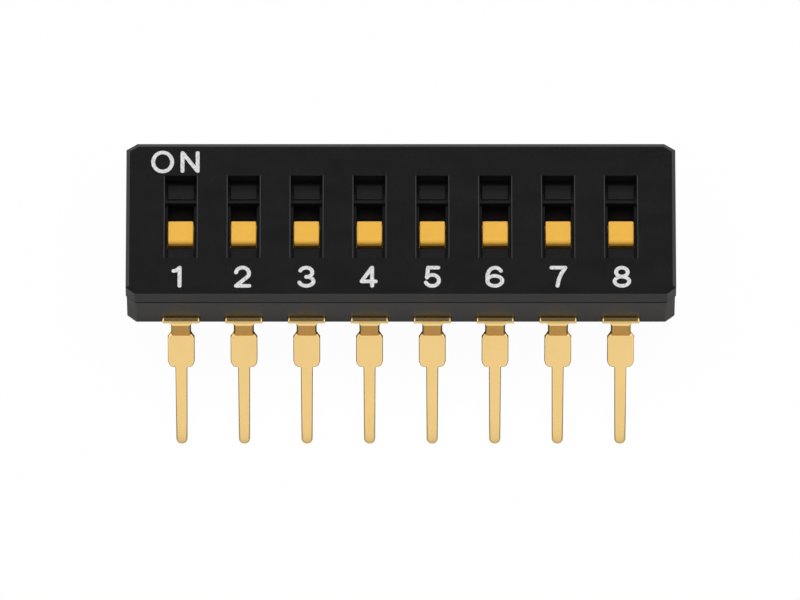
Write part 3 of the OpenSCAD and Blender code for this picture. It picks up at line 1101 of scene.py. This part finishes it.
def white_room(fill):
    """White to the camera; to shiny surfaces dark overhead, and brightest at the ends and back."""
    room = Finish(bpy.data.worlds.new("room"))
    way = room.node("ShaderNodeTexCoord", output="Generated")
    half_w, half_d = DARK_CEILING
    aslant = room.node("ShaderNodeVectorMath", {"operation": "MULTIPLY_ADD"},
                       {0: way, 1: (1 / half_w, 1 / half_d, 0.0), 2: (0.0, CEILING_SHIFT, 0.0)})
    off_top = room.node("ShaderNodeVectorMath", {"operation": "LENGTH"}, {0: aslant},
                        output="Value")
    overhead = room.ramp(ROOM_MIRROR, off_top * 0.5)
    frontal = room.part(way, "Y")
    at_ends = room.spread(abs(room.part(way, "X")), (0.72, 0.85), (1.0, 1.4))
    in_front = room.spread(frontal, (-0.9, -0.3), (0.7, 1.0))
    behind = room.spread(frontal, (0.1, 0.4), (1.0, 2.0))
    sheen = room.node("ShaderNodeVectorMath", {"operation": "SCALE"},
                      {0: overhead, "Scale": in_front * at_ends * behind})
    mirrored = room.mix(room.rays("Glossy"), (fill, fill, fill), sheen)
    seen = room.mix(room.rays("Camera", "Transmission"), mirrored, (1, 1, 1))
    light = room.node("ShaderNodeBackground", None, {"Color": seen, "Strength": 1.0})
    room.node("ShaderNodeOutputWorld", None, {"Surface": light})
    return room.owner


class SWITCH_OT_stage(bpy.types.Operator):
    """Sets the floor, the room's light, the key light and the camera"""

    bl_idname = "switch.stage"
    bl_label = "Stage"

    def execute(self, context):
        chosen = settings(context).stage
        self.add_floor(chosen.floor)
        context.scene.world = white_room(chosen.fill)
        self.add_key(chosen)
        self.add_camera(context.scene, chosen)
        context.scene.view_settings.view_transform = "Standard"
        return {"FINISHED"}

    def add_floor(self, radius):
        clear_selection()
        bpy.ops.mesh.primitive_circle_add(vertices=64, radius=radius, fill_type="NGON")
        floor = take_new("floor")
        floor.data.materials.append(pale_floor())

    def add_key(self, chosen):
        clear_selection()
        spot = Vector((0, -chosen.key_out, chosen.key_up))
        bpy.ops.object.light_add(type="AREA", location=spot)
        key = bpy.context.active_object
        key.name = "key_light"
        key.rotation_euler = spot.to_track_quat("Z", "Y").to_euler()
        key.data.shape = "DISK"
        key.data.size = chosen.key_w
        key.data.energy = chosen.key
        key.visible_glossy = False

    def add_camera(self, scene, chosen):
        tilt = chosen.tilt
        towards = Vector((0, -math.sin(tilt), math.cos(tilt)))
        upwards = Vector((0, math.cos(tilt), math.sin(tilt)))
        target = Vector((-chosen.aside, 0, TOP_Z * MM)) - chosen.drop * upwards
        clear_selection()
        bpy.ops.object.camera_add(location=target + chosen.distance * towards)
        camera = bpy.context.active_object
        camera.name = "camera"
        camera.rotation_euler = towards.to_track_quat("Z", "Y").to_euler()
        camera.data.lens = camera.data.sensor_width * chosen.distance / chosen.field
        camera.data.clip_start = 0.01
        camera.data.clip_end = 10
        scene.camera = camera


class SWITCH_PT_panel(bpy.types.Panel):
    """Lists the steps that build the package"""

    bl_idname = "SWITCH_PT_panel"
    bl_label = "Slide switch"
    bl_space_type = "VIEW_3D"
    bl_region_type = "UI"
    bl_category = "Switch"

    def draw(self, context):
        for step in STEPS:
            self.layout.operator(step.bl_idname)


STEPS = [SWITCH_OT_cover, SWITCH_OT_base, SWITCH_OT_sliders, SWITCH_OT_contacts,
         SWITCH_OT_terminals, SWITCH_OT_legend, SWITCH_OT_stage]
GROUPS = [MouldingSettings, SlotSettings, SliderSettings, TerminalSettings, PrintSettings,
          StageSettings, SwitchSettings]
CLASSES = [*GROUPS, *STEPS, SWITCH_PT_panel]


def register():
    for made in CLASSES:
        bpy.utils.register_class(made)
    bpy.types.Scene.switch_settings = PointerProperty(type=SwitchSettings)


def unregister():
    del bpy.types.Scene.switch_settings
    for made in reversed(CLASSES):
        bpy.utils.unregister_class(made)


def main():
    register()
    for step in STEPS:
        family, name = step.bl_idname.split(".")
        getattr(getattr(bpy.ops, family), name)()
    bpy.context.view_layer.update()


if __name__ == "__main__":
    main()
